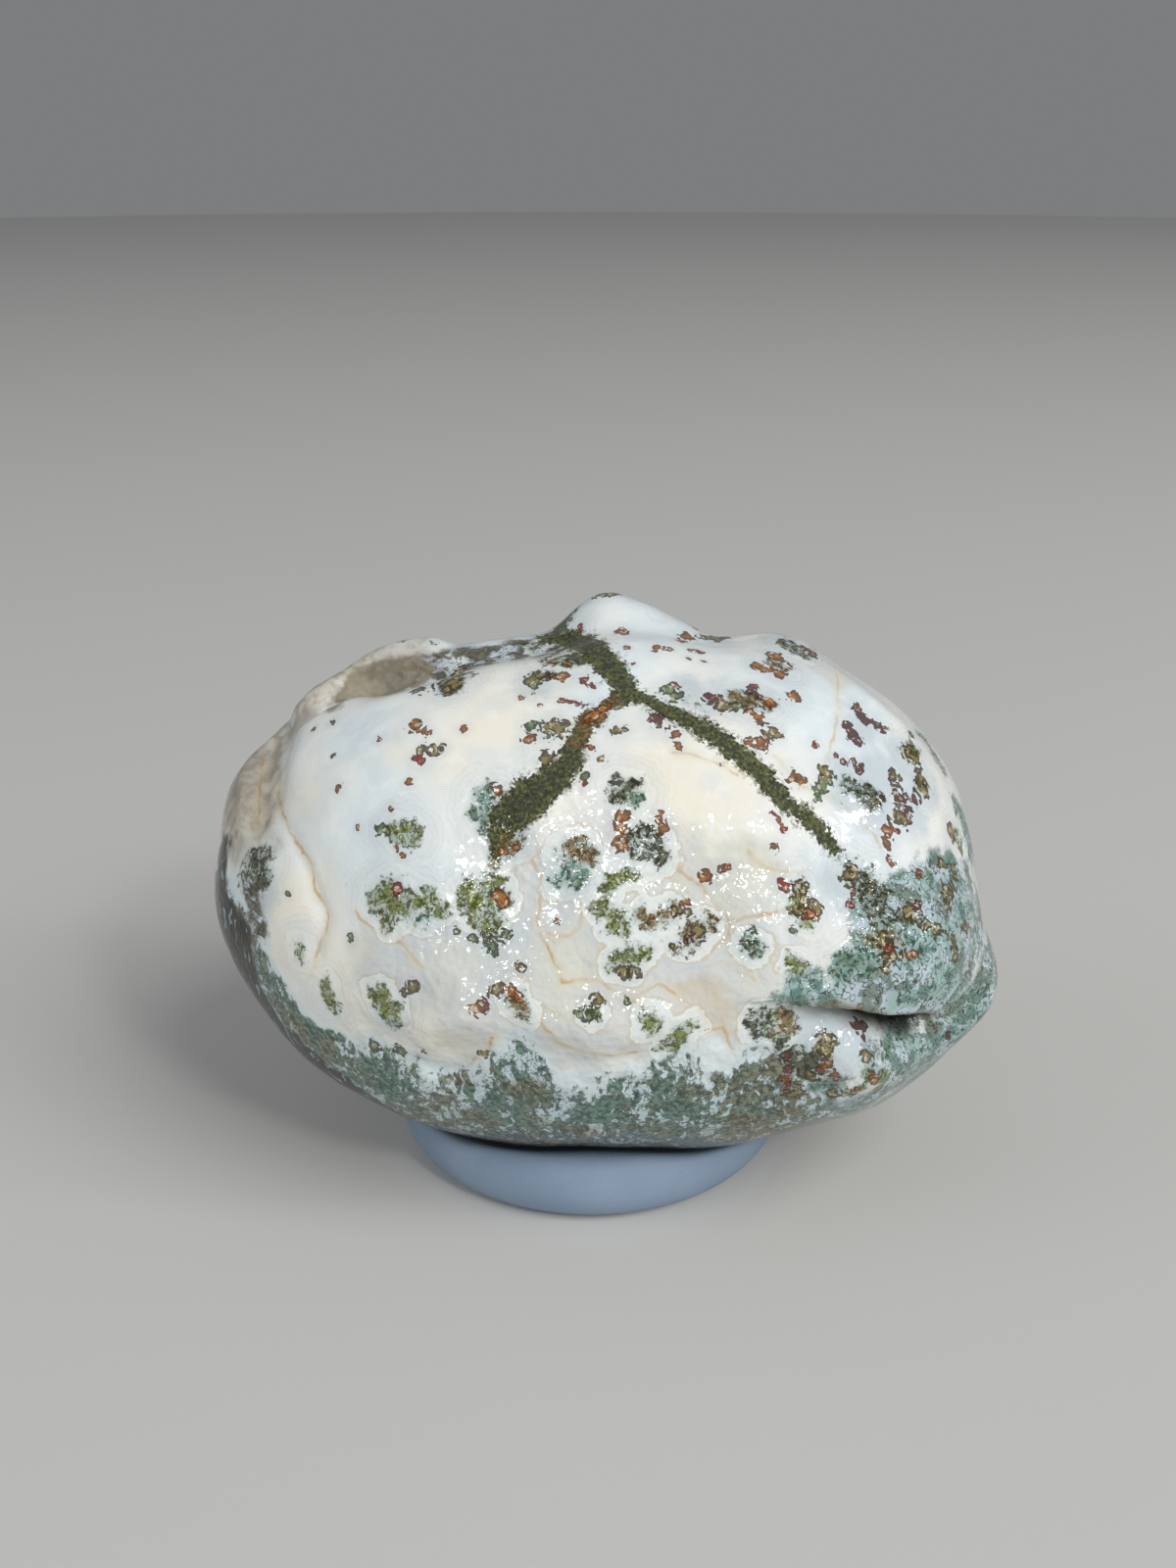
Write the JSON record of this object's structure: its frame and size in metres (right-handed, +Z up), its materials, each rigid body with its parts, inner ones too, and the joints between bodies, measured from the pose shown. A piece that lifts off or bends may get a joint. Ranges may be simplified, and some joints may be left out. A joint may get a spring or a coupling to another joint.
{
  "type": "moss agate nodule on a display pad",
  "caption": "Polished white moss agate nodule with green and rust mossy markings, resting on a small round soft display pad.",
  "frame": {"origin": "middle of the display pad's flat underside, on the surface that it stands on", "axes": "+Z up; +X along the stone's long axis, to the right seen from its broad face; the broad face looks towards -Y and a little up"},
  "size_m": [0.0714, 0.047, 0.0527],
  "materials": {
    "agate": "polished, slightly translucent, white chalcedony with green moss and rust specks",
    "pad": "soft, matt, blue-grey"
  },
  "bodies": {
    "root": {"moss_agate": "agate", "display_pad": "pad"}
  },
  "joints": []
}
